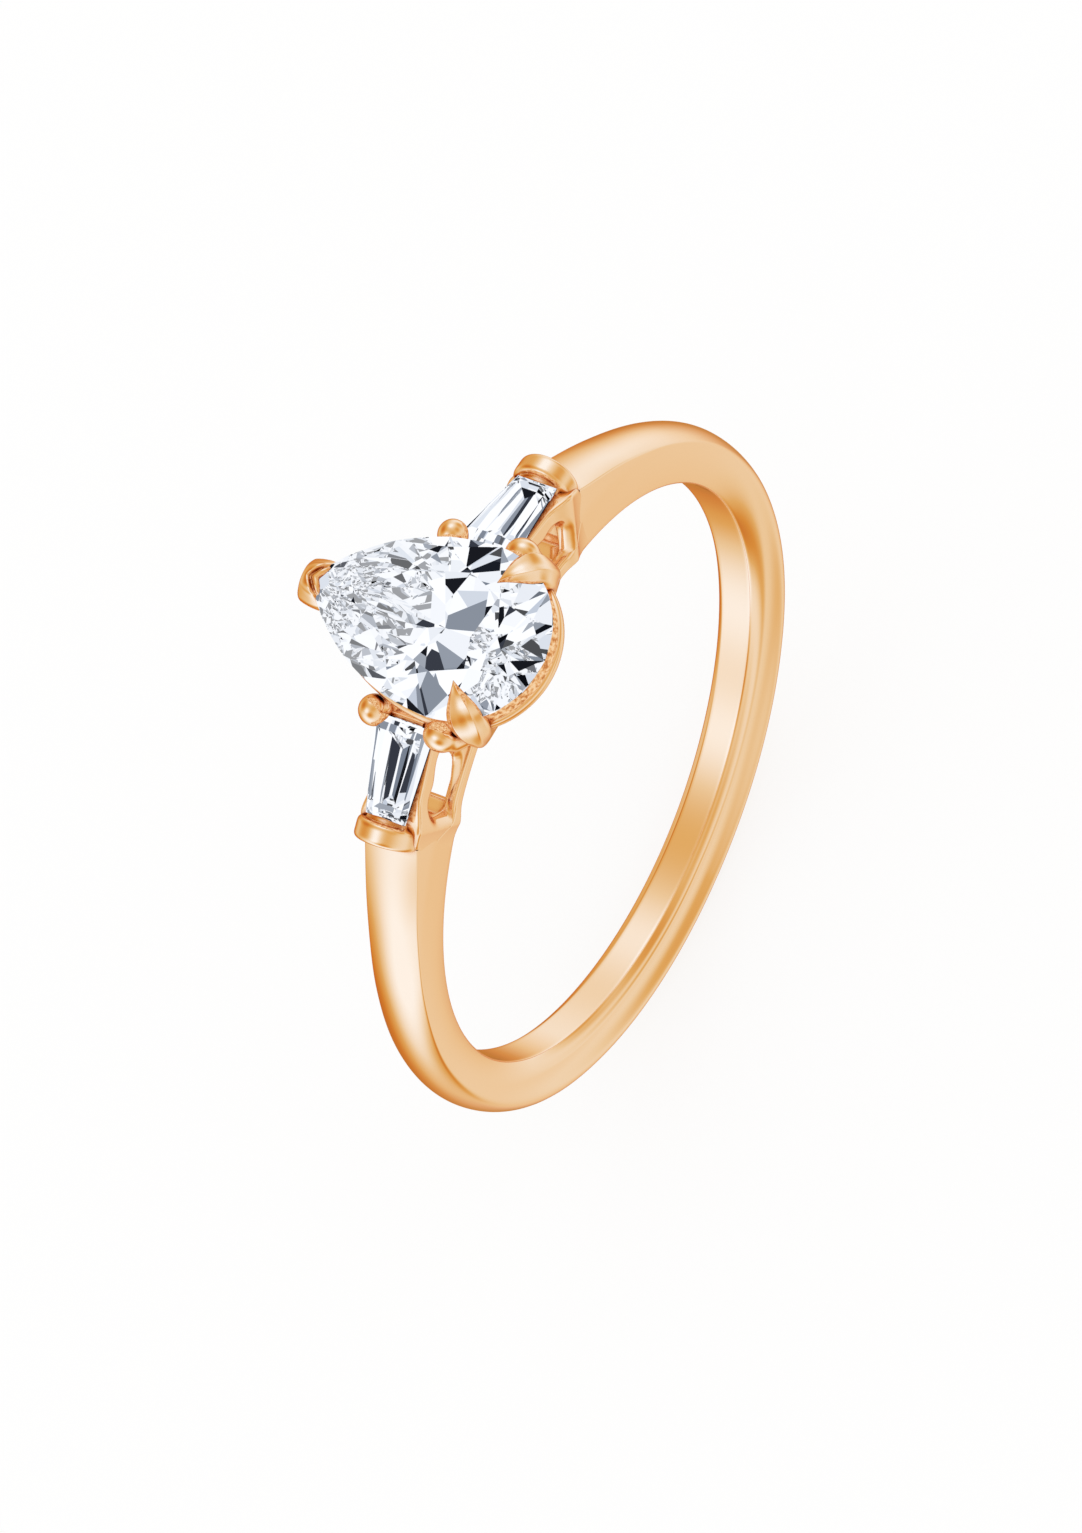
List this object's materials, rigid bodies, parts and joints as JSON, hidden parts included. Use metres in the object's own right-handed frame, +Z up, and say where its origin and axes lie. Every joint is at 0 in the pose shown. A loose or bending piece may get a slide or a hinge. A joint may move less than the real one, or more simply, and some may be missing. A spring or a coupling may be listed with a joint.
{
  "type": "engagement ring",
  "caption": "Three-stone ring with a pear-cut centre stone in leaf claws and a V claw, tapered baguettes at its sides, and a polished rose-gold band.",
  "frame": {"origin": "middle of the finger hole's width, under the centre of the hole, at the bottom of the band", "axes": "+Z up from the bottom of the band through the centre stone, Y along the finger with +Y at the pear's point, X from shoulder to shoulder"},
  "size_m": [0.02, 0.0076, 0.024],
  "materials": {
    "gold": "polished 18 carat rose gold",
    "diamond": "polished colourless diamond"
  },
  "bodies": {
    "root": {"shank": "gold", "centre_stone": "diamond", "gallery_rail": "gold", "base_rail": "gold", "tip_claw": "gold", "bridge_front": "gold", "bridge_rear": "gold", "side_stone_right": "diamond", "side_stone_left": "diamond", "claw_right": "gold", "claw_left": "gold", "bead_front_right": "gold", "bead_front_left": "gold", "bead_rear_right": "gold", "bead_rear_left": "gold", "end_bar_right": "gold", "end_bar_left": "gold", "side_frame_front_right": "gold", "side_frame_front_left": "gold", "side_frame_rear_right": "gold", "side_frame_rear_left": "gold", "cross_bar_right": "gold", "cross_bar_left": "gold"}
  },
  "joints": []
}
